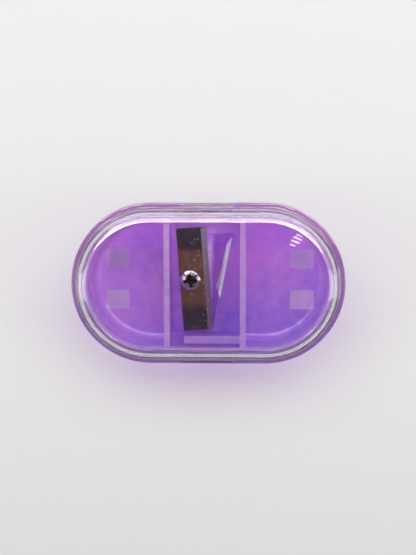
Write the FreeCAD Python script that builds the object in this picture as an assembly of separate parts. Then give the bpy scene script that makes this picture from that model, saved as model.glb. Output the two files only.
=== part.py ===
import FreeCAD, Part
import math
import os

from FreeCAD import Placement, Rotation, Vector

# A pocket pencil sharpener with a shavings box: a translucent tray with a clear
# snap-fit lid, and a one-hole sharpener block in a bay between two chambers.
# Millimetres. X runs along the length and +Z is up; the pencil goes in from +Y.
# The origin is on the surface that the sharpener rests on, under its middle.

# Overall sizes
LENGTH = 62.0              # over the flange, along X
WIDTH = 36.5               # over the flange, along Y
LID_DOME = 7.3             # from the flange's upper face to the top of the lid

# Tray
FLOOR = 1.3
TRAY_WALL = 1.4
TRAY_DRAFT = 3.0           # degrees, the same on both sides of the wall
FLANGE_REACH = 2.0         # how far the flange stands out from the wall's top
FLANGE_THICKNESS = 1.3
FLANGE_EDGE_RADIUS = 0.35
TRAY_FOOT_RADIUS = 1.5     # outside corner between wall and underside
TRAY_FLOOR_RADIUS = 1.8    # inside corner between wall and floor
UPSTAND_HEIGHT = 1.5       # locating lip above the flange, inside the lid
UPSTAND_THICKNESS = 0.8
UPSTAND_GAP_HALF = 12.2    # the lip stops this far each side of the snaps

# Bay for the sharpener block
BAY_WIDTH = 15.9
BAY_CENTRE_X = -0.75
PARTITION_THICKNESS = 1.3
PARTITION_BELOW_RIM = 0.3
STOP_THICKNESS = 1.7       # cross wall behind the block
STOP_BEHIND = 0.45         # open space between the stop and the tray's wall
STOP_BELOW_RIM = 1.0
STOP_OPEN_SIDE = 3.2       # the stop starts this far from the left partition

# Sharpener block
BLOCK_SIDE_CLEARANCE = 0.1
BLOCK_END_CLEARANCE = 0.25
BLOCK_UNDER_BORE = 1.0     # plastic under the pencil's bore
BLOCK_EDGE_CHAMFER = 0.35
PENCIL_RADIUS = 4.05       # bore that takes a standard pencil
PENCIL_AXIS_OFFSET = 1.45  # from the middle of the bay
ENTRY_LENGTH = 3.4         # straight part of the bore before the taper
TIP_RADIUS = 0.5
TIP_WALL = 2.3             # plastic behind the taper's small end
WALL_HOLE_CLEARANCE = 0.35
HOLE_TO_TONGUE = 0.3       # from the pencil hole up to the lid's tongue
FENCE_HEIGHT = 0.7         # lip that keeps the blade from turning
EXIT_OVERHANG = 1.2        # the exit opens this far on the blade's side of the axis
EXIT_SIDE_WALL = 1.1
EXIT_LEVEL = 0.35          # exit floor above the axis, as a share of the taper's radius
EXIT_FRONT_LAP = 0.6       # the exit runs this far past the taper's wide end

# Blade
BLADE_WIDTH = 6.8
BLADE_THICKNESS = 0.9
BLADE_FRONT_MARGIN = 1.55   # block left bare in front of the blade
BLADE_BACK_MARGIN = 0.65
BLADE_SKEW = 3.7           # degrees, turned about the screw
BLADE_EDGE_OFFSET = 0.4    # cutting edge from the bore's axis, beside the screw
BEVEL_WIDTH = 1.25
EDGE_LAND = 0.06           # thickness left at the cutting edge
BLADE_CORNER_RADIUS = 0.25
BLADE_SIDE_CLEARANCE = 0.1
BLADE_HOLE_RADIUS = 1.45

# Screw
SCREW_FROM_BLADE_BACK = 2.35
SCREW_HEAD_RADIUS = 2.3
SCREW_HEAD_RIM = 0.45
SCREW_HEAD_RISE = 0.75
SCREW_RADIUS = 1.2
SCREW_ROOT_RADIUS = 0.85
SCREW_PITCH = 0.8
SCREW_LENGTH = 5.2         # under the head, through the blade
SCREW_POINT = 0.8
PILOT_CLEARANCE = 0.05
PILOT_SPARE_DEPTH = 0.4
RECESS_SPAN = 3.1          # cross recess, tip to tip
RECESS_SLOT = 0.78
RECESS_DEPTH = 0.85

# Lid
LID_WALL = 1.1
LID_SEAT_GAP = 0.05
LID_FLANGE_INSET = 0.15    # lid flange inside the tray flange
LID_FLANGE_REACH = 1.2
LID_FLANGE_THICKNESS = 1.1
LID_FOOT_RADIUS = 0.4      # corner between the lid's wall and its flange
LID_DRAFT = 3.0            # degrees
LID_SHOULDER_RADIUS = 3.2

# Snaps in the middle of both long sides
TONGUE_WIDTH = 11.2
TONGUE_THICKNESS = 1.05
TONGUE_DROP = 2.0
TONGUE_CLEARANCE = 0.2
HOOK_REACH = 0.25
HOOK_HEIGHT = 0.8
RIDGE_HEIGHT = 0.6
RIDGE_BELOW_RIM = 0.4
RIDGE_SHORTER = 0.8        # the ridge ends this far inside the tongue's ends
SNAP_CLEARANCE = 0.05      # hook and ridge drawn with the tongue sprung open
SNAP_PLAY = 0.1            # between the hook and the underside of the ridge

# Self-adhesive foot pads
PAD_LENGTH = 5.5
PAD_WIDTH = 4.5
PAD_THICKNESS = 0.8
PAD_CORNER_RADIUS = 0.6
PAD_PAIR_SPACING = 9.6     # between centres, along Y
PAD_EDGE_MARGIN = 0.6      # from the flat underside's edge to the pad's corner

# Heights
TRAY_BOTTOM = PAD_THICKNESS
FLOOR_TOP = TRAY_BOTTOM + FLOOR
AXIS_Z = FLOOR_TOP + BLOCK_UNDER_BORE + PENCIL_RADIUS
WALL_HOLE_RADIUS = PENCIL_RADIUS + WALL_HOLE_CLEARANCE
RIM = AXIS_Z + WALL_HOLE_RADIUS + HOLE_TO_TONGUE + TONGUE_DROP
LID_TOP = RIM + LID_DOME

# Plan: half circles joined by straight runs
END_RADIUS = WIDTH / 2
END_CENTRE = (LENGTH - WIDTH) / 2
WALL_LEAN = math.tan(math.radians(TRAY_DRAFT))
WALL_INNER = END_RADIUS - FLANGE_REACH - TRAY_WALL
WALL_INNER_AT_FLOOR = WALL_INNER - (RIM - FLOOR_TOP) * WALL_LEAN

# Bay and block
BAY_LEFT = BAY_CENTRE_X - BAY_WIDTH / 2
BAY_RIGHT = BAY_CENTRE_X + BAY_WIDTH / 2
BLOCK_LEFT = BAY_LEFT + BLOCK_SIDE_CLEARANCE
BLOCK_RIGHT = BAY_RIGHT - BLOCK_SIDE_CLEARANCE
BLOCK_FRONT = WALL_INNER_AT_FLOOR - BLOCK_END_CLEARANCE
STOP_FACE = -(WALL_INNER_AT_FLOOR - STOP_BEHIND - STOP_THICKNESS)
BLOCK_BACK = STOP_FACE + BLOCK_END_CLEARANCE
AXIS_X = BAY_CENTRE_X + PENCIL_AXIS_OFFSET

# Taper, and the blade's seat that touches it along its top line
TAPER_WIDE_Y = BLOCK_FRONT - ENTRY_LENGTH
TAPER_TIP_Y = BLOCK_BACK + TIP_WALL
TAPER_SLOPE = (PENCIL_RADIUS - TIP_RADIUS) / (TAPER_WIDE_Y - TAPER_TIP_Y)
SEAT_TILT = math.degrees(math.atan(TAPER_SLOPE))
BLADE_FRONT = BLOCK_FRONT - BLADE_FRONT_MARGIN
BLADE_BACK = BLOCK_BACK + BLADE_BACK_MARGIN
SEAT_CENTRE_Y = (BLADE_FRONT + BLADE_BACK) / 2
BLADE_LENGTH = (BLADE_FRONT - BLADE_BACK) / math.cos(math.radians(SEAT_TILT))
SCREW_TO_EDGE = BLADE_WIDTH - SCREW_FROM_BLADE_BACK
SCREW_X = AXIS_X - BLADE_EDGE_OFFSET - SCREW_TO_EDGE

X_AXIS = Vector(1, 0, 0)
Y_AXIS = Vector(0, 1, 0)
Z_AXIS = Vector(0, 0, 1)


def taper_radius(y):
    return TIP_RADIUS + (y - TAPER_TIP_Y) * TAPER_SLOPE


def seat_height(y):
    return AXIS_Z + taper_radius(y)


# The blade and its screw share this place: local Z is square to the seat
SEAT = Placement(Vector(SCREW_X, SEAT_CENTRE_Y, seat_height(SEAT_CENTRE_Y)),
                 Rotation(X_AXIS, SEAT_TILT) * Rotation(Z_AXIS, BLADE_SKEW))


def box(x, y, z):
    """A box from three (low, high) pairs."""
    size = [high - low for low, high in (x, y, z)]
    return Part.makeBox(*size, Vector(x[0], y[0], z[0]))


def cylinder_y(radius, y_low, y_high):
    """A cylinder on the pencil's axis."""
    return Part.makeCylinder(radius, y_high - y_low, Vector(AXIS_X, y_low, AXIS_Z), Y_AXIS)


def single(shape):
    """The one solid that a finished piece consists of."""
    solids = shape.removeSplitter().Solids
    if len(solids) != 1:
        raise ValueError(f"expected one solid, got {len(solids)}")
    return solids[0]


def corner(before, here, after, radius):
    """Start, middle and end of the arc that rounds a corner."""
    toward_before = (before - here).normalize()
    toward_after = (after - here).normalize()
    if radius == 0:
        return here, here, here
    half = toward_before.getAngle(toward_after) / 2
    tangent = radius / math.tan(half)
    bisector = (toward_before + toward_after).normalize()
    middle = here + bisector * (radius / math.sin(half) - radius)
    return here + toward_before * tangent, middle, here + toward_after * tangent


def section(*points):
    """A flat XZ face from corners given as (x, z) or (x, z, radius)."""
    places = [Vector(point[0], 0, point[1]) for point in points]
    radii = [point[2] if len(point) > 2 else 0 for point in points]
    count = len(points)
    corners = [corner(places[i - 1], places[i], places[(i + 1) % count], radii[i]) for i in range(count)]
    edges = []
    for i, (start, middle, end) in enumerate(corners):
        if radii[i] > 0:
            edges.append(Part.Arc(start, middle, end).toShape())
        edges.append(Part.makeLine(end, corners[(i + 1) % count][0]))
    return Part.Face(Part.Wire(edges))


def around(face):
    """Carries a section, X as distance from the plan's middle line, round the plan."""
    facing_front = face.copy()
    facing_front.rotate(Vector(), Z_AXIS, -90)
    turn = facing_front.revolve(Vector(), Z_AXIS, 180)
    turn.translate(Vector(END_CENTRE, 0, 0))
    facing_front.translate(Vector(-END_CENTRE, 0, 0))
    run = facing_front.extrude(Vector(2 * END_CENTRE, 0, 0))
    other_turn = turn.copy()
    other_turn.rotate(Vector(), Z_AXIS, 180)
    other_run = run.copy()
    other_run.rotate(Vector(), Z_AXIS, 180)
    return turn.fuse([run, other_turn, other_run]).removeSplitter()


def both_sides(shape):
    """The shape and its half turn about Z."""
    turned = shape.copy()
    turned.rotate(Vector(), Z_AXIS, 180)
    return [shape, turned]


def tray_shell():
    flange_under = RIM - FLANGE_THICKNESS
    wall_outer = END_RADIUS - FLANGE_REACH
    foot = wall_outer - (flange_under - TRAY_BOTTOM) * WALL_LEAN
    lip_top = RIM + UPSTAND_HEIGHT
    lip_outer = WALL_INNER + UPSTAND_THICKNESS
    return around(section(
        (0, TRAY_BOTTOM),
        (foot, TRAY_BOTTOM, TRAY_FOOT_RADIUS),
        (wall_outer, flange_under),
        (END_RADIUS, flange_under, FLANGE_EDGE_RADIUS),
        (END_RADIUS, RIM, FLANGE_EDGE_RADIUS),
        (lip_outer, RIM),
        (lip_outer, lip_top),
        (WALL_INNER, lip_top),
        (WALL_INNER, RIM),
        (WALL_INNER_AT_FLOOR, FLOOR_TOP, TRAY_FLOOR_RADIUS),
        (0, FLOOR_TOP)))


def snap_ridge():
    """Ridge on the -Y wall that the lid's hook goes under."""
    wall = END_RADIUS - FLANGE_REACH
    reach = wall + (FLANGE_REACH - LID_FLANGE_INSET - TONGUE_THICKNESS - HOOK_REACH - SNAP_CLEARANCE)
    half = TONGUE_WIDTH / 2 - RIDGE_SHORTER
    top = RIM - RIDGE_BELOW_RIM
    return box((-half, half), (-reach, -(wall - TRAY_WALL / 2)), (top - RIDGE_HEIGHT, top))


def base_tray():
    wall_middle = END_RADIUS - FLANGE_REACH - TRAY_WALL / 2
    wall_middle_low = wall_middle - (RIM - FLOOR_TOP) * WALL_LEAN / 2
    shape = tray_shell()
    lip_gap = box((-UPSTAND_GAP_HALF, UPSTAND_GAP_HALF), (-END_RADIUS, END_RADIUS),
                  (RIM, RIM + 2 * UPSTAND_HEIGHT))
    half = TONGUE_WIDTH / 2 + TONGUE_CLEARANCE
    notch = box((-half, half), (-2 * END_RADIUS, FLANGE_REACH - END_RADIUS),
                (RIM - 2 * FLANGE_THICKNESS, RIM + FLANGE_THICKNESS))
    shape = shape.cut([lip_gap] + both_sides(notch))
    walls = []
    for inner, outward in ((BAY_LEFT, -1), (BAY_RIGHT, 1)):
        x = sorted((inner, inner + outward * PARTITION_THICKNESS))
        walls.append(box(x, (-wall_middle_low, wall_middle_low),
                         (TRAY_BOTTOM + FLOOR / 2, RIM - PARTITION_BELOW_RIM)))
    walls.append(box((BAY_LEFT + STOP_OPEN_SIDE, BAY_RIGHT + PARTITION_THICKNESS / 2),
                     (STOP_FACE - STOP_THICKNESS, STOP_FACE),
                     (TRAY_BOTTOM + FLOOR / 2, RIM - STOP_BELOW_RIM)))
    shape = shape.fuse(walls + both_sides(snap_ridge()))
    return single(shape.cut(cylinder_y(WALL_HOLE_RADIUS, BLOCK_FRONT, WIDTH)))


def block_wedge():
    """Side view of the block, with the top parallel to the blade's seat."""
    heel = TRAY_FLOOR_RADIUS
    top_front = seat_height(BLOCK_FRONT) + FENCE_HEIGHT
    top_back = seat_height(BLOCK_BACK) + FENCE_HEIGHT
    side = section((BLOCK_BACK, FLOOR_TOP), (BLOCK_FRONT - heel, FLOOR_TOP),
                   (BLOCK_FRONT, FLOOR_TOP + heel), (BLOCK_FRONT, top_front),
                   (BLOCK_BACK, top_back))
    side.rotate(Vector(), Z_AXIS, 90)
    side.translate(Vector(BLOCK_RIGHT, 0, 0))
    wedge = side.extrude(Vector(BLOCK_LEFT - BLOCK_RIGHT, 0, 0))
    long_top = [edge for edge in wedge.Edges
                if abs(edge.BoundBox.YLength - (BLOCK_FRONT - BLOCK_BACK)) < 1e-6
                and edge.BoundBox.ZMin > FLOOR_TOP]
    return wedge.makeChamfer(BLOCK_EDGE_CHAMFER, long_top)


def shavings_exit():
    """Opening beside the cutting edge; its floor runs out to the taper's apex."""
    front = TAPER_WIDE_Y + EXIT_FRONT_LAP
    floor_front = AXIS_Z + EXIT_LEVEL * taper_radius(front)
    floor_back = AXIS_Z + EXIT_LEVEL * taper_radius(TAPER_TIP_Y)
    side = section((TAPER_TIP_Y, floor_back), (front, floor_front),
                   (front, LID_TOP), (TAPER_TIP_Y, LID_TOP))
    side.rotate(Vector(), Z_AXIS, 90)
    side.translate(Vector(BLOCK_RIGHT - EXIT_SIDE_WALL, 0, 0))
    return side.extrude(Vector(AXIS_X - EXIT_OVERHANG - (BLOCK_RIGHT - EXIT_SIDE_WALL), 0, 0))


def sharpener_block():
    reach = 2 * (BLOCK_FRONT - BLOCK_BACK)
    seat_slot = box((-SCREW_FROM_BLADE_BACK - BLADE_SIDE_CLEARANCE, 2 * BAY_WIDTH),
                    (-reach, reach), (0, 2 * BLADE_THICKNESS + FENCE_HEIGHT))
    pilot_depth = SCREW_LENGTH - BLADE_THICKNESS + PILOT_SPARE_DEPTH
    pilot = Part.makeCylinder(SCREW_RADIUS + PILOT_CLEARANCE, pilot_depth + BLADE_THICKNESS,
                              Vector(0, 0, -pilot_depth))
    for cut in (seat_slot, pilot):
        cut.Placement = SEAT
    taper = Part.makeCone(TIP_RADIUS, PENCIL_RADIUS, TAPER_WIDE_Y - TAPER_TIP_Y,
                          Vector(AXIS_X, TAPER_TIP_Y, AXIS_Z), Y_AXIS)
    entry = cylinder_y(PENCIL_RADIUS, TAPER_WIDE_Y, BLOCK_FRONT + 1)
    bore = taper.fuse(entry)
    return single(block_wedge().cut([seat_slot, pilot, bore, shavings_exit()]))


def blade():
    back = -SCREW_FROM_BLADE_BACK
    side = section((back, 0), (SCREW_TO_EDGE, 0), (SCREW_TO_EDGE, EDGE_LAND),
                   (SCREW_TO_EDGE - BEVEL_WIDTH, BLADE_THICKNESS), (back, BLADE_THICKNESS))
    side.translate(Vector(0, -BLADE_LENGTH / 2, 0))
    strip = side.extrude(Vector(0, BLADE_LENGTH, 0))
    back_corners = [edge for edge in strip.Edges
                    if edge.BoundBox.ZLength > BLADE_THICKNESS / 2
                    and edge.BoundBox.XMax < back + 1e-6]
    strip = strip.makeFillet(BLADE_CORNER_RADIUS, back_corners)
    hole = Part.makeCylinder(BLADE_HOLE_RADIUS, 3 * BLADE_THICKNESS, Vector(0, 0, -BLADE_THICKNESS))
    strip = strip.cut(hole)
    strip.Placement = SEAT
    return single(strip)


def blade_screw():
    """Raised-head screw; rings stand for the thread's turns."""
    seat = BLADE_THICKNESS
    crown = seat + SCREW_HEAD_RIM + SCREW_HEAD_RISE
    rim_top = seat + SCREW_HEAD_RIM
    sphere_radius = (SCREW_HEAD_RADIUS ** 2 + SCREW_HEAD_RISE ** 2) / (2 * SCREW_HEAD_RISE)
    half_angle = math.asin(SCREW_HEAD_RADIUS / sphere_radius) / 2
    mid_crown = Vector(sphere_radius * math.sin(half_angle), 0,
                       crown - sphere_radius * (1 - math.cos(half_angle)))
    tip = seat - SCREW_LENGTH
    thread_end = tip + SCREW_POINT
    outline = [Vector(SCREW_HEAD_RADIUS, 0, seat), Vector(SCREW_ROOT_RADIUS, 0, seat)]
    turns = int((-thread_end) / SCREW_PITCH)
    for turn in range(turns):
        crest = -(turn + 0.5) * SCREW_PITCH
        outline.append(Vector(SCREW_ROOT_RADIUS, 0, crest + 0.4 * SCREW_PITCH))
        outline.append(Vector(SCREW_RADIUS, 0, crest))
        outline.append(Vector(SCREW_ROOT_RADIUS, 0, crest - 0.4 * SCREW_PITCH))
    outline += [Vector(SCREW_ROOT_RADIUS, 0, thread_end), Vector(0, 0, tip)]
    edges = [Part.Arc(Vector(0, 0, crown), mid_crown, Vector(SCREW_HEAD_RADIUS, 0, rim_top)).toShape(),
             Part.makeLine(Vector(SCREW_HEAD_RADIUS, 0, rim_top), outline[0])]
    edges += [Part.makeLine(a, b) for a, b in zip(outline, outline[1:])]
    edges.append(Part.makeLine(Vector(0, 0, tip), Vector(0, 0, crown)))
    shape = Part.Face(Part.Wire(edges)).revolve(Vector(), Z_AXIS, 360)
    across = RECESS_SPAN / 2
    slot = RECESS_SLOT / 2
    depth = (crown - RECESS_DEPTH, crown + 1)
    cross = box((-across, across), (-slot, slot), depth).fuse(box((-slot, slot), (-across, across), depth))
    shape = shape.cut(cross)
    shape.Placement = SEAT
    return single(shape)


def lid_shell():
    seat = RIM + LID_SEAT_GAP
    flange_top = seat + LID_FLANGE_THICKNESS
    rim = END_RADIUS - LID_FLANGE_INSET
    wall_foot = rim - LID_FLANGE_REACH
    lean = math.tan(math.radians(LID_DRAFT))
    wall_top = wall_foot - (LID_TOP - flange_top) * lean
    inner_foot = wall_foot - LID_WALL
    inner_top = wall_top - LID_WALL
    return around(section(
        (0, LID_TOP), (wall_top, LID_TOP, LID_SHOULDER_RADIUS),
        (wall_foot, flange_top, LID_FOOT_RADIUS),
        (rim, flange_top, FLANGE_EDGE_RADIUS), (rim, seat, FLANGE_EDGE_RADIUS),
        (inner_foot, seat), (inner_foot, flange_top),
        (inner_top, LID_TOP - LID_WALL, LID_SHOULDER_RADIUS - LID_WALL),
        (0, LID_TOP - LID_WALL)))


def snap_tongue():
    """Tongue under the -Y flange, with a hook at its lower inside edge."""
    outer = END_RADIUS - LID_FLANGE_INSET
    inner = outer - TONGUE_THICKNESS
    low = RIM - TONGUE_DROP
    hook_top = RIM - RIDGE_BELOW_RIM - RIDGE_HEIGHT - SNAP_PLAY
    hook = inner - HOOK_REACH
    side = section((outer, low, FLANGE_EDGE_RADIUS), (outer, RIM + LID_FLANGE_THICKNESS / 2),
                   (inner, RIM + LID_FLANGE_THICKNESS / 2), (inner, hook_top), (hook, hook_top),
                   (hook, hook_top - HOOK_HEIGHT / 2), (inner, hook_top - HOOK_HEIGHT),
                   (inner, low))
    side.rotate(Vector(), Z_AXIS, -90)
    side.translate(Vector(-TONGUE_WIDTH / 2, 0, 0))
    return side.extrude(Vector(TONGUE_WIDTH, 0, 0))


def clear_lid():
    return single(lid_shell().fuse(both_sides(snap_tongue())))


def foot_pad(x_side, y_side):
    flat_radius = (END_RADIUS - FLANGE_REACH - TRAY_FOOT_RADIUS
                   - (RIM - FLANGE_THICKNESS - TRAY_BOTTOM) * WALL_LEAN)
    outer_y = (PAD_PAIR_SPACING + PAD_WIDTH) / 2
    outer_x = END_CENTRE + math.sqrt(flat_radius ** 2 - outer_y ** 2) - PAD_EDGE_MARGIN
    x = sorted((x_side * outer_x, x_side * (outer_x - PAD_LENGTH)))
    y = sorted((y_side * outer_y, y_side * (outer_y - PAD_WIDTH)))
    pad = box(x, y, (0, PAD_THICKNESS))
    upright = [edge for edge in pad.Edges if edge.BoundBox.ZLength > PAD_THICKNESS / 2]
    return single(pad.makeFillet(PAD_CORNER_RADIUS, upright))


def all_nodes():
    nodes = {
        "base_tray": base_tray(),
        "sharpener_block": sharpener_block(),
        "blade": blade(),
        "blade_screw": blade_screw(),
        "clear_lid": clear_lid(),
    }
    for x_name, x_side in (("left", -1), ("right", 1)):
        for y_name, y_side in (("front", -1), ("back", 1)):
            nodes[f"foot_pad_{x_name}_{y_name}"] = foot_pad(x_side, y_side)
    return nodes


def main():
    os.makedirs("parts", exist_ok=True)
    for name, shape in all_nodes().items():
        shape.exportStep(f"parts/{name}.step")
        box_ = shape.BoundBox
        print(f"{name}: volume {shape.Volume:.2f} mm3, x {box_.XMin:.2f} {box_.XMax:.2f}, "
              f"y {box_.YMin:.2f} {box_.YMax:.2f}, z {box_.ZMin:.2f} {box_.ZMax:.2f}")
    print(f"rim {RIM:.3f}, axis x {AXIS_X:.3f} z {AXIS_Z:.3f}, block {BLOCK_BACK:.3f} {BLOCK_FRONT:.3f}, "
          f"blade {BLADE_LENGTH:.3f} tilt {SEAT_TILT:.3f}")


main()
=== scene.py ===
"""Looks of a pocket pencil sharpener: a purple tray with its sharpener block under a clear snap-fit lid."""

import math

import bmesh
import bpy
from mathutils import Matrix, Vector


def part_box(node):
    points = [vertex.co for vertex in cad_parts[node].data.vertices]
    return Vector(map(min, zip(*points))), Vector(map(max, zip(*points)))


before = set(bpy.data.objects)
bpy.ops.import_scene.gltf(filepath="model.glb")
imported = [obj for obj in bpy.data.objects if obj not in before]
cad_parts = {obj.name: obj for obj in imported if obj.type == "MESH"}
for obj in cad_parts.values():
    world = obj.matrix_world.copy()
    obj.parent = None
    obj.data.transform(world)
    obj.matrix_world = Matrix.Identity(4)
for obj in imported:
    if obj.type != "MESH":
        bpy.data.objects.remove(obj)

bl_info = {
    "name": "Pocket Sharpener Looks",
    "version": (1, 0, 0),
    "blender": (4, 5, 0),
    "location": "3D View > Sidebar > Sharpener",
    "description": "Finishes the sharpener's frame with moulded plastic and steel, and sets its studio",
    "category": "Object",
}

MM = 0.001
PADS = [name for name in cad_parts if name.startswith("foot_pad")]
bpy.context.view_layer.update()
LIP_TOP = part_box("base_tray")[1].z
POLYSTYRENE_IOR = 1.59

# A painted highlight in the block's finish, a pale lens standing in for a reflection in the taper's bore: its
# ends as (x, y), how far its left side bows out, and its levels.
HIGHLIGHT_FRONT = (2.6 * MM, -3.9 * MM)
HIGHLIGHT_BACK = (5.358 * MM, 10.3 * MM)
HIGHLIGHT_BOW = 2.15 * MM
HIGHLIGHT_LEVELS = (5.5 * MM, 9.2 * MM)

# Where the blade's painted reflection changes from near black to brown, as shares of its length from the
# front end.
REFLECTED_DARK_ENDS = (0.24, 0.86)
REFLECTED_BROWN_BETWEEN = (0.33, 0.79)

FLOOR_HALF = 1.6
PAPER_MOTTLE = 8 * MM
CAMERA_DROP = 1.5 * MM         # from the top of the tray's lip down to the level that the camera aims at
CAMERA_AIM_BACK = 1.3 * MM
SENSOR_WIDTH = 36

# Soft lamps: name, place, size and power in watts.
SOFTBOXES = (
    ("softbox_back", (0.02, 0.30, 0.46), (0.9, 0.30), 3.55),
    ("softbox_left", (-0.50, -0.05, 0.30), (0.20, 0.5), 0.95),
    ("softbox_right", (0.52, -0.05, 0.30), (0.20, 0.5), 0.95),
)

# Cards that glossy surfaces mirror: name, azimuth and tilt in degrees, size in metres, and radiance.
CARDS = (
    ("back_upper", 90, 19, (0.8, 0.06), 20),
    ("back_middle", 90, 28, (0.8, 0.025), 22),
    ("back_lower", 90, 40, (0.8, 0.03), 16),
    ("back_wall", 90, 64, (0.9, 0.05), 12),
    ("left_strip", 178, 34, (0.30, 0.035), 5),
    ("right_strip", 2, 34, (0.30, 0.035), 5),
    ("left_low", 182, 52, (0.35, 0.04), 3),
    ("right_low", 358, 52, (0.35, 0.04), 3),
    ("front_left", 228, 34, (0.08, 0.04), 9),
    ("front_right", 312, 34, (0.08, 0.04), 9),
    ("window_right", 56, 30, (0.12, 0.12), 16),
    ("window_left", 140, 30, (0.06, 0.07), 12),
)
CARD_DISTANCE = 0.55

LOUVRE_COUNT = 4
LOUVRE_PLACE = Vector((0.0425, -0.0105, 0.521))
LOUVRE_STEP = Vector((-0.0013, -0.0019, 0))
LOUVRE_SIZE = (0.0048, 0.0006)
LOUVRE_RADIANCE = 22


def linear(hex_colour):
    """An sRGB hex colour as linear RGBA."""
    parts = [int(hex_colour[i:i + 2], 16) / 255 for i in (1, 3, 5)]
    return tuple(c / 12.92 if c <= 0.04045 else ((c + 0.055) / 1.055) ** 2.4 for c in parts) + (1.0,)


def per(millimetres):
    """The scale of a texture whose features come about every so many millimetres."""
    return 1 / (millimetres * MM)


def colour_property(name, description, hex_colour):
    return bpy.props.FloatVectorProperty(name=name, description=description, subtype="COLOR",
                                         size=4, min=0, max=1, default=linear(hex_colour))


def length_property(name, description, millimetres):
    return bpy.props.FloatProperty(name=name, description=description, subtype="DISTANCE",
                                   unit="LENGTH", min=0, default=millimetres * MM)


class SharpenerPlastics(bpy.types.PropertyGroup):
    """Colours and edge size of the moulded pieces"""

    tray_tint: colour_property("Tray tint", "Tint of the tray's polystyrene, seen through", "#f2c0f8")
    # The deep tint and glow are mixed in at random, and more of them towards the front.
    tray_deep: colour_property("Deep tint", "Tint where the colour gathers", "#d8b6fb")
    tray_glow: colour_property("Tray glow", "Light scattered inside the tray's plastic", "#f6acff")
    deep_glow: colour_property("Deep glow", "Light scattered where the colour gathers", "#ad8af2")
    tray_pale: colour_property("Pale edges", "Light scattered at rims and edges", "#ecd2f6")
    block_tint: colour_property("Block tint", "Tint of the sharpener block, seen through", "#eabdf2")
    pad_colour: colour_property("Pads", "Pale foam of the foot pads", "#eef0f0")
    lid_colour: colour_property("Lid", "Tint of the clear lid", "#faf9ff")
    # Painted tint: the lid's flange takes a darker purple, standing in for the tray's colour glowing through
    # it.
    flange_painted_tint: colour_property("Lid flange", "Where the tray's colour creeps in", "#c9b4c9")
    edge_round: length_property("Edge rounding", "Bevel on the moulded edges", 0.09)


class SharpenerMetals(bpy.types.PropertyGroup):
    """Colours of the blade and its screw"""

    # Painted reflection: the blade's near-black ends and brown middle stand in for dark and brown
    # surroundings mirrored in the steel.
    blade_reflected_dark: colour_property("Blade ends", "Hardened steel towards the ends", "#3d353f")
    blade_reflected_brown: colour_property("Blade middle", "Tempered steel round the screw", "#684a42")
    bevel_steel: colour_property("Bevel", "Ground steel, a little stained", "#746870")
    # The crown's colour is a painted dark reflection; against it the bright nickel of the rim reads as a
    # painted highlight ring.
    nickel: colour_property("Screw", "Nickel plate, bright round the head's rim", "#c9bfc3")
    crown_dark_reflection: colour_property("Screw crown", "Nickel plate dulled by oil", "#5c5056")


class SharpenerStudio(bpy.types.PropertyGroup):
    """Camera, floor and walls"""

    camera_height: length_property("Camera height", "From the parting line up to the lens", 260)
    camera_back: length_property("Camera back", "How far the lens stands to the pencil side", 22)
    camera_right: length_property("Camera right", "How far the lens stands to the right", 9)
    view_long_side: length_property("View", "Long side of the view at the parting line", 125.2)
    floor_colour: colour_property("Floor", "Matt paper sweep", "#e6e5e6")
    wall_colour: colour_property("Walls", "Room walls near the horizon", "#a89ca2")
    ceiling_colour: colour_property("Ceiling", "Unlit ceiling overhead", "#3a3538")


def add(tree, kind, links=None, **settings):
    """A node with its settings and links; a setting named like an input sets that input.

    A link comes from a socket or from a node's first output in use; a plain value sets the input instead.
    """
    node = tree.nodes.new(kind)
    for name, value in settings.items():
        sockets = [s for s in node.inputs if s.enabled and s.name.replace(" ", "_").lower() == name]
        if sockets:
            sockets[0].default_value = value
        else:
            setattr(node, name, value)
    for target, source in (links or {}).items():
        by_name = [s for s in node.inputs if s.enabled and s.name == target]
        socket = by_name[0] if by_name else node.inputs[target]
        if isinstance(source, bpy.types.Node):
            source = next(s for s in source.outputs if s.enabled)
        if isinstance(source, bpy.types.NodeSocket):
            tree.links.new(source, socket)
        else:
            socket.default_value = source
    return node


def overlap(tree, *masks):
    """Masks and strengths multiplied together: 1 where all are 1, fading where any of them fades."""
    result = masks[0]
    for mask in masks[1:]:
        result = add(tree, "ShaderNodeMath", {0: result, 1: mask}, operation="MULTIPLY")
    return result


def within(tree, value, low, high, soft=0.05 * MM):
    """1 where a value lies between two limits, with a soft edge."""
    rise = add(tree, "ShaderNodeMapRange", {"Value": value}, from_min=low - soft, from_max=low + soft)
    fall = add(tree, "ShaderNodeMapRange", {"Value": value}, from_min=high + soft, from_max=high - soft)
    return overlap(tree, rise, fall)


def facing(tree, kind, direction):
    """How squarely a surface faces a direction: 1 straight at it, 0 side on."""
    normal = add(tree, "ShaderNodeNewGeometry").outputs[kind]
    return add(tree, "ShaderNodeVectorMath", {0: normal, 1: direction}, operation="DOT_PRODUCT")


def new_material(name):
    material = bpy.data.materials.new(name)
    material.use_nodes = True
    material.node_tree.nodes.clear()
    return material, material.node_tree


def lamp_light_through(tree, shader, tint):
    """Lets light for matt surfaces shine straight through a clear or tinted piece, tinted on the way.

    It keeps the inside evenly lit, with no bright patterns thrown on the floor.
    """
    path = add(tree, "ShaderNodeLightPath")
    clear = add(tree, "ShaderNodeBsdfTransparent", color=tint)
    bounced = add(tree, "ShaderNodeMixShader", {0: path.outputs["Is Diffuse Ray"], 1: shader, 2: clear})
    return add(tree, "ShaderNodeMixShader", {0: path.outputs["Is Shadow Ray"], 1: bounced, 2: clear})


def fine_scratches(tree, place, angle):
    """Hairlines left by handling, running one way: 1 on a scratch, 0 between.

    Real ones are finer than a hair's breadth; these are drawn as coarse as they need to be to show.
    """
    turned = add(tree, "ShaderNodeMapping", {"Vector": place}, rotation=(0, 0, angle), scale=(1, 0.03, 1))
    lines = add(tree, "ShaderNodeTexNoise", {"Vector": turned}, scale=per(0.714), detail=2)
    return add(tree, "ShaderNodeMapRange", {"Value": lines}, from_min=0.63, from_max=0.70)


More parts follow.
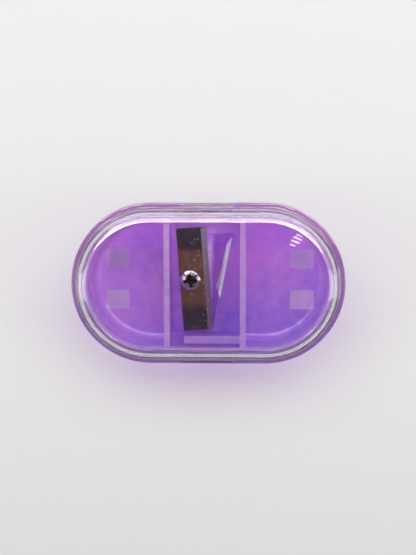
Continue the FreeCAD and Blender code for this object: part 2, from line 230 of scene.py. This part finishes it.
def clear_polystyrene(colour, flange_painted_tint):
    """Injection-moulded crystal polystyrene.

    Moulding gives it a glassy skin with a slow ripple; use gives it hairline scratches and specks of dust.
    """
    material, tree = new_material("clear_polystyrene_moulded")
    place = add(tree, "ShaderNodeTexCoord").outputs["Object"]
    level = add(tree, "ShaderNodeSeparateXYZ", {"Vector": place}).outputs["Z"]
    # Painted tint below the tray's lip: darker purple standing in for the tray's colour glowing through the
    # clear flange.
    flange = within(tree, level, 0, LIP_TOP, 0.3 * MM)
    tint = add(tree, "ShaderNodeMix", {"Factor": flange, "A": colour, "B": flange_painted_tint}, data_type="RGBA")
    haze = add(tree, "ShaderNodeTexNoise", {"Vector": place}, scale=per(6.25), detail=3)
    rough = add(tree, "ShaderNodeMapRange", {"Value": haze}, from_min=0.4, from_max=0.75,
                to_min=0.0, to_max=0.025)
    ripple = add(tree, "ShaderNodeTexNoise", {"Vector": place}, scale=per(7.14), detail=1)
    flow = add(tree, "ShaderNodeBump", {"Height": ripple}, strength=0.3, distance=0.02 * MM)
    one_way, other_way = (fine_scratches(tree, place, angle) for angle in (0.6, -0.9))
    worn = add(tree, "ShaderNodeMath", {0: one_way, 1: other_way}, operation="MAXIMUM")
    skin = add(tree, "ShaderNodeBump", {"Height": worn, "Normal": flow}, strength=0.12,
               distance=0.01 * MM, invert=True)
    plastic = add(tree, "ShaderNodeBsdfPrincipled", {"Base Color": tint, "Roughness": rough, "Normal": skin},
                  ior=POLYSTYRENE_IOR, transmission_weight=1.0)
    specks = add(tree, "ShaderNodeTexVoronoi", {"Vector": place}, scale=per(1.053))
    dust = add(tree, "ShaderNodeMapRange", {"Value": specks}, from_min=0.14, from_max=0.07, to_max=0.45)
    patchy = add(tree, "ShaderNodeMapRange", {"Value": haze}, from_min=0.44, from_max=0.56)
    powder = add(tree, "ShaderNodeBsdfDiffuse", color=linear("#efeaf2"))
    dusty = add(tree, "ShaderNodeMixShader", {0: overlap(tree, dust, patchy), 1: plastic, 2: powder})
    depth = add(tree, "ShaderNodeVolumeAbsorption", color=linear("#b7a8c0"), density=160)
    add(tree, "ShaderNodeOutputMaterial", {"Surface": lamp_light_through(tree, dusty, linear("#fdfdfd")),
                                           "Volume": depth})
    return material


def wetted_patches(tree, place, grain, pad):
    """1 above the four foot pads, with a slightly ragged edge; the pads mirror one box in X and in Y."""
    low, high = pad
    patches = within(tree, place.outputs["Z"], -1 * MM, high.z + 1.6 * MM)
    for axis, start, end in (("X", low.x, high.x), ("Y", low.y, high.y)):
        across = add(tree, "ShaderNodeMath", {0: place.outputs[axis]}, operation="ABSOLUTE")
        edge = add(tree, "ShaderNodeMath", {0: grain, 1: 0.3 * MM, 2: across}, operation="MULTIPLY_ADD")
        side = within(tree, edge, start + 0.15 * MM, end + 0.15 * MM, 0.15 * MM)
        patches = overlap(tree, patches, side)
    return overlap(tree, patches, 0.9)


def purple_polystyrene(name, plastics, tint, milk, pad=None, with_painted_highlight=False):
    """Injection-moulded tinted polystyrene: see-through with a milky body, under a glossy moulded skin.

    The tint drifts at random across the moulding and deepens towards the front; rims, where light gathers in
    the plastic, read paler.
    Where a pad's adhesive wets the underside, the plastic reads paler and greyer.
    """
    material, tree = new_material(name)
    coordinates = add(tree, "ShaderNodeTexCoord").outputs["Object"]
    place = add(tree, "ShaderNodeSeparateXYZ", {"Vector": coordinates})
    cloud = add(tree, "ShaderNodeTexNoise", {"Vector": coordinates}, scale=per(16.1), detail=4,
                roughness=0.55)
    cloud = add(tree, "ShaderNodeMapRange", {"Value": cloud}, from_min=0.34, from_max=0.66, to_max=0.5)
    # Deeper, darker tint and glow towards the front of the tray.
    frontward = add(tree, "ShaderNodeMapRange", {"Value": place.outputs["Y"]},
                    from_min=9 * MM, from_max=-13 * MM, to_min=-0.1, to_max=0.5)
    drift = add(tree, "ShaderNodeMath", {0: cloud, 1: frontward}, use_clamp=True)
    body = add(tree, "ShaderNodeMix", {"Factor": drift, "A": tint, "B": plastics.tray_deep},
               data_type="RGBA")
    glow = add(tree, "ShaderNodeMix", {"Factor": drift, "A": plastics.tray_glow, "B": plastics.deep_glow},
               data_type="RGBA")
    rim = add(tree, "ShaderNodeMapRange", {"Value": place.outputs["Z"]},
              from_min=11.5 * MM, from_max=14.0 * MM, to_max=0.65)
    glow = add(tree, "ShaderNodeMix", {"Factor": rim, "A": glow, "B": plastics.tray_pale}, data_type="RGBA")
    grain = add(tree, "ShaderNodeTexNoise", {"Vector": coordinates}, scale=per(2.38), detail=4)
    if pad:
        wet = wetted_patches(tree, place, grain, pad)
        glow = add(tree, "ShaderNodeMix", {"Factor": wet, "A": glow, "B": linear("#eeceff")},
                   data_type="RGBA")
    mottle = add(tree, "ShaderNodeMapRange", {"Value": grain}, from_min=0.25, from_max=0.75,
                 to_min=0.25, to_max=0.75)
    glow = add(tree, "ShaderNodeMix", {"A": glow, "B": mottle}, data_type="RGBA", blend_type="OVERLAY",
               factor=0.4)
    skin = add(tree, "ShaderNodeBump", {"Height": grain}, strength=0.12, distance=0.05 * MM)
    rough = add(tree, "ShaderNodeMapRange", {"Value": grain}, from_min=0.3, from_max=0.7,
                to_min=0.06, to_max=0.16)
    clear = add(tree, "ShaderNodeBsdfPrincipled", {"Base Color": body, "Roughness": rough, "Normal": skin},
                ior=POLYSTYRENE_IOR, transmission_weight=1.0)
    cloudy = add(tree, "ShaderNodeBsdfPrincipled", {"Base Color": glow, "Roughness": rough, "Normal": skin},
                 ior=POLYSTYRENE_IOR)
    through = add(tree, "ShaderNodeBsdfTranslucent", {"Color": glow})
    scatter = add(tree, "ShaderNodeMixShader", {0: 0.2, 1: cloudy, 2: through})
    amount = add(tree, "ShaderNodeMapRange", {"Value": rim}, to_min=milk, to_max=min(1, milk + 0.25))
    plastic = add(tree, "ShaderNodeMixShader", {0: amount, 1: clear, 2: scatter})
    # Painted highlight: a pale glossy lens on the block beside the taper, standing in for a reflection in the
    # bore.
    if with_painted_highlight:
        highlight_streaks = add(tree, "ShaderNodeMix", {"Factor": grain, "A": linear("#d0c9e4"),
                                              "B": linear("#ffffff")}, data_type="RGBA")
        painted_shine = add(tree, "ShaderNodeBsdfPrincipled", {"Base Color": highlight_streaks, "Normal": skin},
                    roughness=0.25)
        plastic = add(tree, "ShaderNodeMixShader", {0: painted_highlight_mask(tree, place), 1: plastic, 2: painted_shine})
    if pad:
        underside = within(tree, place.outputs["Z"], -1 * MM, pad[1].z + 0.4 * MM)
        film = add(tree, "ShaderNodeBsdfDiffuse", color=linear("#e8d2ff"))
        plastic = add(tree, "ShaderNodeMixShader", {0: overlap(tree, wet, underside), 1: plastic, 2: film})
    add(tree, "ShaderNodeOutputMaterial", {"Surface": lamp_light_through(tree, plastic, linear("#f1e2fb"))})
    return material


def painted_highlight_mask(tree, place):
    """1 on the painted highlight beside the taper, a long pale lens standing in for a reflection in the bore:
    straight on its right side, bowed on its left.
    """
    along = place.outputs["Y"]
    (front_x, front_y), (back_x, back_y) = HIGHLIGHT_FRONT, HIGHLIGHT_BACK
    edge = add(tree, "ShaderNodeMapRange", {"Value": along}, from_min=front_y, from_max=back_y,
               to_min=front_x, to_max=back_x, clamp=False)
    inward = add(tree, "ShaderNodeMath", {0: edge, 1: place.outputs["X"]}, operation="SUBTRACT")
    length = add(tree, "ShaderNodeMapRange", {"Value": along}, from_min=front_y, from_max=back_y,
                 to_min=-1, to_max=1, clamp=False)
    squared = add(tree, "ShaderNodeMath", {0: length, 1: length}, operation="MULTIPLY")
    width = add(tree, "ShaderNodeMath", {0: squared, 1: -HIGHLIGHT_BOW, 2: HIGHLIGHT_BOW}, operation="MULTIPLY_ADD")
    room = add(tree, "ShaderNodeMath", {0: width, 1: inward}, operation="SUBTRACT")
    far = 5 * MM
    upward = add(tree, "ShaderNodeMapRange", {"Value": facing(tree, "True Normal", (0, 0, 1))},
                 from_min=-0.05, from_max=0.05)
    return overlap(tree, within(tree, inward, 0, far, 0.08 * MM), within(tree, room, 0, far, 0.12 * MM),
                   within(tree, place.outputs["Z"], *HIGHLIGHT_LEVELS), upward, 0.9)


def carbon_steel(metals, blade):
    """Hardened carbon steel strip, ground along one edge.

    A painted reflection of dark and brown surroundings leaves it brown in the middle and near black at the
    ends;
    grinding leaves fine lines along it, drawn coarser than real so that they show, and a brighter bevel.
    """
    material, tree = new_material("carbon_steel_hardened_ground")
    place = add(tree, "ShaderNodeTexCoord").outputs["Object"]
    along = add(tree, "ShaderNodeSeparateXYZ", {"Vector": place}).outputs["Y"]
    low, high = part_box("blade")
    wander = add(tree, "ShaderNodeTexNoise", {"Vector": place}, scale=per(6.25), detail=2)
    along = add(tree, "ShaderNodeMath", {0: wander, 1: 2 * MM, 2: along}, operation="MULTIPLY_ADD")
    along = add(tree, "ShaderNodeMapRange", {"Value": along}, from_min=low.y, from_max=high.y)
    # Painted reflection: bands of near black at the ends and brown in the middle.
    reflected_bands = add(tree, "ShaderNodeValToRGB", {"Fac": along})
    stops = reflected_bands.color_ramp.elements
    for stop, position in zip(stops, REFLECTED_DARK_ENDS):
        stop.position, stop.color = position, metals.blade_reflected_dark
    for position in REFLECTED_BROWN_BETWEEN:
        stops.new(position).color = metals.blade_reflected_brown
    lay = add(tree, "ShaderNodeMapping", {"Vector": place}, scale=(1, 0.04, 1))
    lines = add(tree, "ShaderNodeTexNoise", {"Vector": lay}, scale=per(0.385), detail=3)
    face = add(tree, "ShaderNodeMix", {"A": reflected_bands, "B": lines}, data_type="RGBA", blend_type="OVERLAY",
               factor=0.35)
    top = max((f for f in blade.data.polygons if f.normal.z > 0.8), key=lambda f: f.area).normal
    bevel = within(tree, facing(tree, "True Normal", top), 0.5, 0.985, 0.01)
    colour = add(tree, "ShaderNodeMix", {"Factor": bevel, "A": face, "B": metals.bevel_steel},
                 data_type="RGBA")
    rough = add(tree, "ShaderNodeMapRange", {"Value": lines}, to_min=0.28, to_max=0.5)
    bump = add(tree, "ShaderNodeBump", {"Height": lines}, strength=0.25, distance=0.02 * MM)
    steel = add(tree, "ShaderNodeBsdfPrincipled", {"Base Color": colour, "Roughness": rough, "Normal": bump},
                metallic=1.0)
    add(tree, "ShaderNodeOutputMaterial", {"Surface": steel})
    return material


def nickel_plate(metals, screw):
    """Bright nickel over a cold-headed steel screw.

    The plate is painted with a dark reflection on the crown, keeps its bright nickel round the head's sloping
    rim as a painted highlight ring, and has painted shade in the recess.
    """
    material, tree = new_material("nickel_plated_steel_cold_headed")
    place = add(tree, "ShaderNodeTexCoord").outputs["Object"]
    crown = max(screw.data.polygons, key=lambda f: f.center.z).normal
    # Painted highlight and reflection: bright nickel on the sloping rim, a painted dark reflection on the
    # crown.
    rim = add(tree, "ShaderNodeMapRange", {"Value": facing(tree, "Normal", crown)},
              from_min=0.965, from_max=0.90)
    metal = add(tree, "ShaderNodeMix", {"Factor": rim, "A": metals.crown_dark_reflection, "B": metals.nickel},
                data_type="RGBA")
    # Painted shade: ambient occlusion darkens the cross recess to near black.
    recess_occlusion = add(tree, "ShaderNodeAmbientOcclusion", distance=0.7 * MM, samples=8).outputs["AO"]
    unshaded_metal = add(tree, "ShaderNodeMapRange", {"Value": recess_occlusion}, from_min=0.45, from_max=0.9)
    shade = add(tree, "ShaderNodeMix", {"Factor": unshaded_metal, "A": linear("#120c0f"), "B": metal},
                data_type="RGBA")
    dull = add(tree, "ShaderNodeTexNoise", {"Vector": place}, scale=per(1.11), detail=3)
    rough = add(tree, "ShaderNodeMapRange", {"Value": dull}, to_min=0.08, to_max=0.3)
    bump = add(tree, "ShaderNodeBump", {"Height": dull}, strength=0.2, distance=0.03 * MM)
    plate = add(tree, "ShaderNodeBsdfPrincipled", {"Base Color": shade, "Roughness": rough, "Normal": bump},
                metallic=1.0)
    add(tree, "ShaderNodeOutputMaterial", {"Surface": plate})
    return material


def pad_foam(colour):
    """Die-cut self-adhesive foam: matt, with open cells drawn a little larger than real so that they show."""
    material, tree = new_material("pvc_foam_die_cut")
    place = add(tree, "ShaderNodeTexCoord").outputs["Object"]
    cells = add(tree, "ShaderNodeTexVoronoi", {"Vector": place}, scale=per(0.286))
    shade = add(tree, "ShaderNodeMix", {"Factor": cells, "A": colour, "B": linear("#b9b8c0")},
                data_type="RGBA")
    bump = add(tree, "ShaderNodeBump", {"Height": cells}, strength=0.6, distance=0.1 * MM)
    foam = add(tree, "ShaderNodeBsdfPrincipled", {"Base Color": shade, "Normal": bump}, roughness=0.9)
    add(tree, "ShaderNodeOutputMaterial", {"Surface": foam})
    return material


def round_edges(node, width, segments=2):
    """Rounds the sharp edges of a CAD node by a modifier; the node's own mesh stays as it is."""
    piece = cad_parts[node]
    weld = piece.modifiers.new("join_seams", "WELD")
    weld.merge_threshold = 0.002 * MM
    bevel = piece.modifiers.new("rounded_edges", "BEVEL")
    bevel.width, bevel.segments = width, segments
    bevel.limit_method, bevel.angle_limit = "ANGLE", math.radians(35)
    bevel.harden_normals = True


def dress(node, material):
    """Gives a CAD node its finish."""
    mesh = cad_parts[node].data
    mesh.materials.clear()
    mesh.materials.append(material)


class SHARPENER_OT_tray(bpy.types.Operator):
    """Finish the tray in translucent purple polystyrene"""

    bl_idname = "sharpener.tray"
    bl_label = "Tray"

    def execute(self, context):
        plastics = context.scene.sharpener_plastics
        finish = purple_polystyrene("purple_polystyrene_moulded_tray", plastics, plastics.tray_tint,
                                    milk=0.66, pad=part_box("foot_pad_right_back"))
        dress("base_tray", finish)
        round_edges("base_tray", plastics.edge_round)
        return {"FINISHED"}


class SHARPENER_OT_block(bpy.types.Operator):
    """Finish the sharpener block in the tray's plastic"""

    bl_idname = "sharpener.block"
    bl_label = "Sharpener block"

    def execute(self, context):
        plastics = context.scene.sharpener_plastics
        finish = purple_polystyrene("purple_polystyrene_moulded_block", plastics, plastics.block_tint,
                                    milk=0.42, with_painted_highlight=True)
        dress("sharpener_block", finish)
        round_edges("sharpener_block", plastics.edge_round)
        return {"FINISHED"}


class SHARPENER_OT_blade(bpy.types.Operator):
    """Finish the blade in hardened carbon steel"""

    bl_idname = "sharpener.blade"
    bl_label = "Blade"

    def execute(self, context):
        dress("blade", carbon_steel(context.scene.sharpener_metals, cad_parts["blade"]))
        return {"FINISHED"}


class SHARPENER_OT_screw(bpy.types.Operator):
    """Finish the blade's screw in bright nickel plate"""

    bl_idname = "sharpener.screw"
    bl_label = "Blade screw"

    def execute(self, context):
        dress("blade_screw", nickel_plate(context.scene.sharpener_metals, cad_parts["blade_screw"]))
        return {"FINISHED"}


class SHARPENER_OT_lid(bpy.types.Operator):
    """Finish the lid in clear polystyrene"""

    bl_idname = "sharpener.lid"
    bl_label = "Clear lid"

    def execute(self, context):
        plastics = context.scene.sharpener_plastics
        dress("clear_lid", clear_polystyrene(plastics.lid_colour, plastics.flange_painted_tint))
        return {"FINISHED"}


class SHARPENER_OT_pads(bpy.types.Operator):
    """Finish the four self-adhesive foot pads"""

    bl_idname = "sharpener.pads"
    bl_label = "Foot pads"

    def execute(self, context):
        foam = pad_foam(context.scene.sharpener_plastics.pad_colour)
        for name in PADS:
            dress(name, foam)
        return {"FINISHED"}


def area_light(name, place, aim, size, power):
    data = bpy.data.lights.new(name, "AREA")
    data.shape = "RECTANGLE"
    data.size, data.size_y = size
    data.energy = power
    light = bpy.data.objects.new(name, data)
    bpy.context.scene.collection.objects.link(light)
    light.location = place
    light.rotation_euler = (Vector(aim) - Vector(place)).to_track_quat("-Z", "Y").to_euler()
    return light


def glossy_light(name, place, aim, size, radiance):
    """A lamp that only glossy surfaces see, as a reflection of even brightness."""
    light = area_light(name, place, aim, size, math.pi * size[0] * size[1] * radiance)
    light.visible_diffuse = light.visible_transmission = False
    return light


def reflected_card(name, azimuth, tilt, size, radiance):
    """A warm white card; azimuth from +X, tilt from straight up, in degrees, its long side level."""
    turn, lean = math.radians(azimuth), math.radians(tilt)
    middle = Vector((0, 0, 20 * MM))
    away = Vector((math.cos(turn) * math.sin(lean), math.sin(turn) * math.sin(lean), math.cos(lean)))
    place = middle + away * CARD_DISTANCE
    card = glossy_light(name, place, middle, size, radiance)
    card.data.color = linear("#fff7f2")[:3]
    side = Vector((-math.sin(turn), math.cos(turn), 0))
    card.matrix_world = Matrix((side, away.cross(side), away)).transposed().to_4x4()
    card.location = place


class SHARPENER_OT_stage(bpy.types.Operator):
    """Lay the paper sweep, and set the lights and the camera"""

    bl_idname = "sharpener.stage"
    bl_label = "Stage"

    def execute(self, context):
        studio = context.scene.sharpener_studio
        self.floor(context, studio)
        self.room(context, studio)
        self.lamps()
        self.camera(context, studio)
        return {"FINISHED"}

    def floor(self, context, studio):
        mesh = bpy.data.meshes.new("paper_sweep")
        form = bmesh.new()
        bmesh.ops.create_grid(form, x_segments=8, y_segments=8, size=FLOOR_HALF)
        form.to_mesh(mesh)
        form.free()
        floor = bpy.data.objects.new("paper_sweep", mesh)
        floor.location.z = -0.02 * MM
        context.scene.collection.objects.link(floor)
        mesh.materials.append(self.paper(studio.floor_colour))

    def paper(self, colour):
        """Uncoated paper: matt, with a faint mottle; its texture runs from 0 to 1 across the sweep."""
        material, tree = new_material("uncoated_paper_matt")
        mottle = add(tree, "ShaderNodeTexNoise", scale=2 * FLOOR_HALF / PAPER_MOTTLE, detail=4)
        bump = add(tree, "ShaderNodeBump", {"Height": mottle}, strength=0.05, distance=0.2 * MM)
        paper = add(tree, "ShaderNodeBsdfPrincipled", {"Normal": bump}, base_color=colour, roughness=0.9)
        add(tree, "ShaderNodeOutputMaterial", {"Surface": paper})
        return material

    def room(self, context, studio):
        world = bpy.data.worlds.new("studio")
        world.use_nodes = True
        sky = world.node_tree
        sky.nodes.clear()
        way = add(sky, "ShaderNodeTexCoord").outputs["Generated"]
        lift = add(sky, "ShaderNodeSeparateXYZ", {"Vector": way}).outputs["Z"]
        rise = add(sky, "ShaderNodeMapRange", {"Value": lift}, from_min=0.0, from_max=0.45)
        shade = add(sky, "ShaderNodeMix", {"Factor": rise, "A": studio.wall_colour,
                                           "B": studio.ceiling_colour}, data_type="RGBA")
        air = add(sky, "ShaderNodeBackground", {"Color": shade})
        add(sky, "ShaderNodeOutputWorld", {"Surface": air})
        context.scene.world = world

    def lamps(self):
        for name, place, size, power in SOFTBOXES:
            area_light(name, place, (0, 0, 12 * MM), size, power)
        for card in CARDS:
            reflected_card(*card)
        for number in range(LOUVRE_COUNT):
            place = LOUVRE_PLACE + LOUVRE_STEP * number
            louvre = glossy_light("louvre_%d" % number, place, place - Vector((0, 0, 1)), LOUVRE_SIZE,
                                  LOUVRE_RADIANCE)
            louvre.rotation_euler.z = math.radians(-25)

    def camera(self, context, studio):
        level = LIP_TOP - CAMERA_DROP
        data = bpy.data.cameras.new("camera")
        camera = bpy.data.objects.new("camera", data)
        context.scene.collection.objects.link(camera)
        place = Vector((studio.camera_right, studio.camera_back, level + studio.camera_height))
        aim = Vector((0, CAMERA_AIM_BACK, level))
        back = (place - aim).normalized()
        right = Vector((0, 1, 0)).cross(back).normalized()
        camera.matrix_world = Matrix((right, back.cross(right), back)).transposed().to_4x4()
        camera.location = place
        data.sensor_width = SENSOR_WIDTH
        data.lens = SENSOR_WIDTH * (aim - place).length / studio.view_long_side
        context.scene.camera = camera
        context.scene.view_settings.view_transform = "Standard"


PIECE_OPERATORS = (SHARPENER_OT_tray, SHARPENER_OT_block, SHARPENER_OT_blade, SHARPENER_OT_screw,
                   SHARPENER_OT_lid, SHARPENER_OT_pads, SHARPENER_OT_stage)


class SHARPENER_PT_panel(bpy.types.Panel):
    """Lists the sharpener's settings and pieces"""

    bl_idname = "SHARPENER_PT_panel"
    bl_label = "Pocket Sharpener"
    bl_space_type = "VIEW_3D"
    bl_region_type = "UI"
    bl_category = "Sharpener"

    def draw(self, context):
        layout = self.layout
        for group, holder in GROUPS.items():
            layout.label(text=group.__doc__)
            for name in group.__annotations__:
                layout.prop(getattr(context.scene, holder), name)
        for operator in PIECE_OPERATORS:
            layout.operator(operator.bl_idname)


GROUPS = {SharpenerPlastics: "sharpener_plastics", SharpenerMetals: "sharpener_metals",
          SharpenerStudio: "sharpener_studio"}
CLASSES = (*GROUPS, *PIECE_OPERATORS, SHARPENER_PT_panel)


def register():
    for cls in CLASSES:
        bpy.utils.register_class(cls)
    for group, holder in GROUPS.items():
        setattr(bpy.types.Scene, holder, bpy.props.PointerProperty(type=group))


def unregister():
    for holder in GROUPS.values():
        delattr(bpy.types.Scene, holder)
    for cls in reversed(CLASSES):
        bpy.utils.unregister_class(cls)


def main():
    register()
    for operator in PIECE_OPERATORS:
        family, name = operator.bl_idname.split(".")
        getattr(getattr(bpy.ops, family), name)()


if __name__ == "__main__":
    main()
